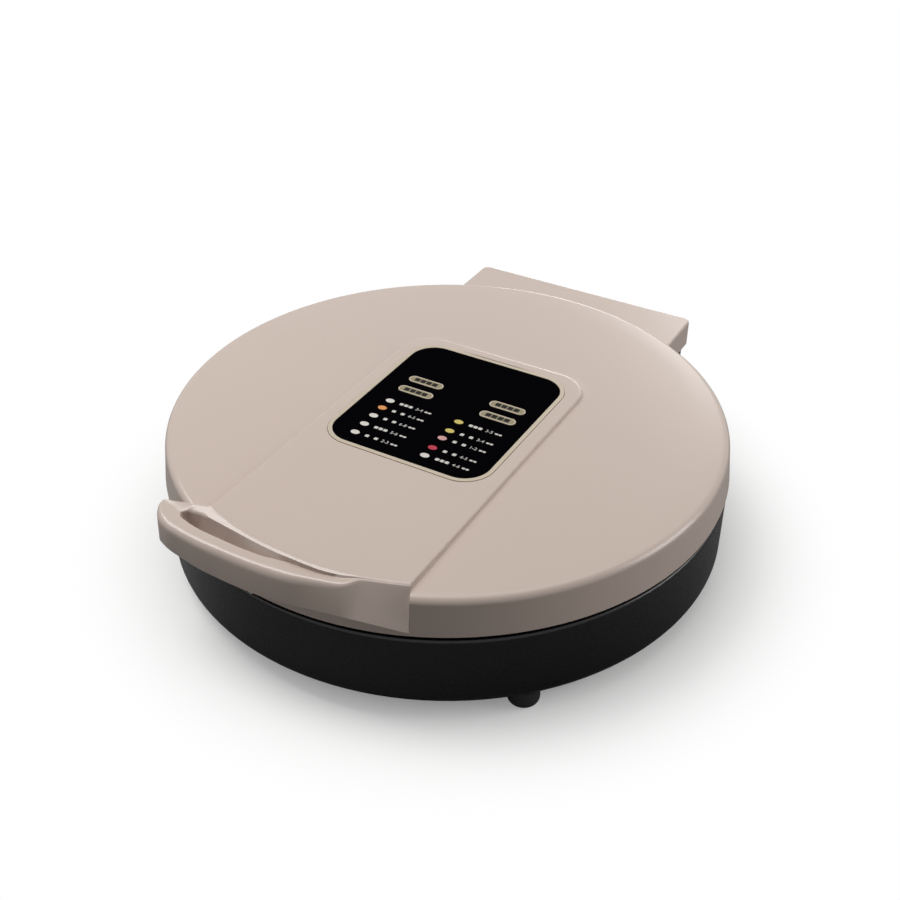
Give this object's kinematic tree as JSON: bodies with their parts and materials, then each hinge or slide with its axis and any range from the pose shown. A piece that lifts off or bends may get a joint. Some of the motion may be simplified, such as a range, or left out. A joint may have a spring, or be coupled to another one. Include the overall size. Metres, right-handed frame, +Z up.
{
  "type": "electric double griddle",
  "caption": "Round countertop griddle with a heated plate in the base and in the hinged, floating lid, a front handle and a key panel on top.",
  "frame": {"origin": "under the middle of the whole part's box, on the surface that the feet stand on", "axes": "+Z up, +Y from the handle at the front to the hinge at the back, +X to the right seen from the handle"},
  "size_m": [0.3551, 0.3868, 0.0915],
  "materials": {
    "champagne_plastic": "satin moulded plastic",
    "black_plastic": "soft gloss moulded plastic",
    "panel_black": "glossy printed panel",
    "bezel_gold": "pale gold plated plastic",
    "key_gold": "pale gold satin plastic",
    "rubber_black": "matte rubber",
    "plate_coating": "cast aluminium with a dark non-stick coat",
    "heater_steel": "sheathed steel tube",
    "reflector_steel": "aluminised sheet",
    "zinc_steel": "zinc-plated steel",
    "brass": "plain",
    "inner_plastic": "matte heat-proof plastic",
    "board_green": "circuit board",
    "wire_red": "silicone sleeve"
  },
  "bodies": {
    "base": {"base_lead": "rubber_black", "base_shell": "black_plastic", "base_wiring": "wire_red", "bracket_screws": "zinc_steel", "foot_front_left": "rubber_black", "foot_front_right": "rubber_black", "foot_rear_left": "rubber_black", "foot_rear_right": "rubber_black", "foot_screws": "zinc_steel", "hinge_bracket_left": "zinc_steel", "hinge_bracket_right": "zinc_steel", "inlet_body": "black_plastic", "inlet_pins": "brass", "lower_fuse": "inner_plastic", "lower_heater": "heater_steel", "lower_heater_clips": "zinc_steel", "lower_plate": "plate_coating", "lower_plate_screws": "zinc_steel", "lower_reflector": "reflector_steel", "lower_reflector_screws": "zinc_steel", "lower_thermostat": "inner_plastic", "terminal_block": "inner_plastic"},
    "hinge_float": {"hinge_rod": "zinc_steel", "rod_clips": "zinc_steel"},
    "lid": {"arm_screws": "zinc_steel", "board_screws": "zinc_steel", "control_board": "board_green", "control_panel": "panel_black", "cover_screws": "zinc_steel", "handle_cover": "champagne_plastic", "handle_screws": "zinc_steel", "hinge_arm_left": "zinc_steel", "hinge_arm_right": "zinc_steel", "hinge_cover": "champagne_plastic", "key_switches": "panel_black", "lid_lead": "rubber_black", "lid_shell": "champagne_plastic", "lid_wiring": "wire_red", "panel_bezel": "bezel_gold", "upper_fuse": "inner_plastic", "upper_heater": "heater_steel", "upper_heater_clips": "zinc_steel", "upper_plate": "plate_coating", "upper_plate_screws": "zinc_steel", "upper_reflector": "reflector_steel", "upper_reflector_screws": "zinc_steel", "upper_thermostat": "inner_plastic"},
    "key_back_left": {"key_back_left": "key_gold"},
    "key_back_right": {"key_back_right": "key_gold"},
    "key_front_left": {"key_front_left": "key_gold"},
    "key_front_right": {"key_front_right": "key_gold"}
  },
  "joints": [
    {"name": "lid_float", "type": "slide", "parent": "base", "child": "hinge_float", "axis": [0, 0, 1], "range_m": [0, 0.006]},
    {"name": "lid_hinge", "type": "hinge", "parent": "hinge_float", "child": "lid", "pos_m": [0, 0.18135, 0.0408], "axis": [-1, 0, 0], "range_deg": [0, 105]},
    {"name": "key_back_left_press", "type": "slide", "parent": "lid", "child": "key_back_left", "axis": [0, 0, -1], "range_m": [0, 0.0005], "stiffness_N_per_m": 300},
    {"name": "key_back_right_press", "type": "slide", "parent": "lid", "child": "key_back_right", "axis": [0, 0, -1], "range_m": [0, 0.0005], "stiffness_N_per_m": 300},
    {"name": "key_front_left_press", "type": "slide", "parent": "lid", "child": "key_front_left", "axis": [0, 0, -1], "range_m": [0, 0.0005], "stiffness_N_per_m": 300},
    {"name": "key_front_right_press", "type": "slide", "parent": "lid", "child": "key_front_right", "axis": [0, 0, -1], "range_m": [0, 0.0005], "stiffness_N_per_m": 300}
  ]
}
